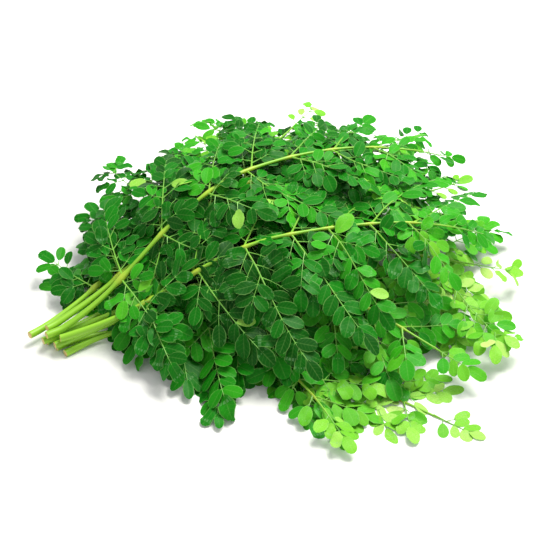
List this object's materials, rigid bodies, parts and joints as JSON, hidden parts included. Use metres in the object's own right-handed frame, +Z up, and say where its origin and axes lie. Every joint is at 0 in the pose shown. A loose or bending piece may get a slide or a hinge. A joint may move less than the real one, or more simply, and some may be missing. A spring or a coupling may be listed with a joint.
{
  "type": "bunch of moringa leaf sprigs",
  "caption": "Bunch of cut moringa leaf fronds lying on a surface, stalks gathered at one end and feathery compound leaves fanned out over each other in a low heap.",
  "frame": {"origin": "middle of the underside of the whole bunch, on the surface it lies on", "axes": "+X from the cut stalk ends to the leaf tips, +Y away from the front of the heap, +Z up"},
  "size_m": [0.4406, 0.4225, 0.1095],
  "materials": {
    "leaflets": "soft satin",
    "stalks": "smooth satin"
  },
  "bodies": {
    "root": {"frond_1_front_right": "leaflets", "frond_2_back_right": "leaflets", "frond_3_front": "leaflets", "frond_4_right": "leaflets", "frond_5_right_front": "leaflets", "frond_6_back": "leaflets", "frond_7_back_right_top": "leaflets", "frond_8_middle_top": "leaflets", "frond_9_crest": "leaflets"}
  },
  "joints": []
}
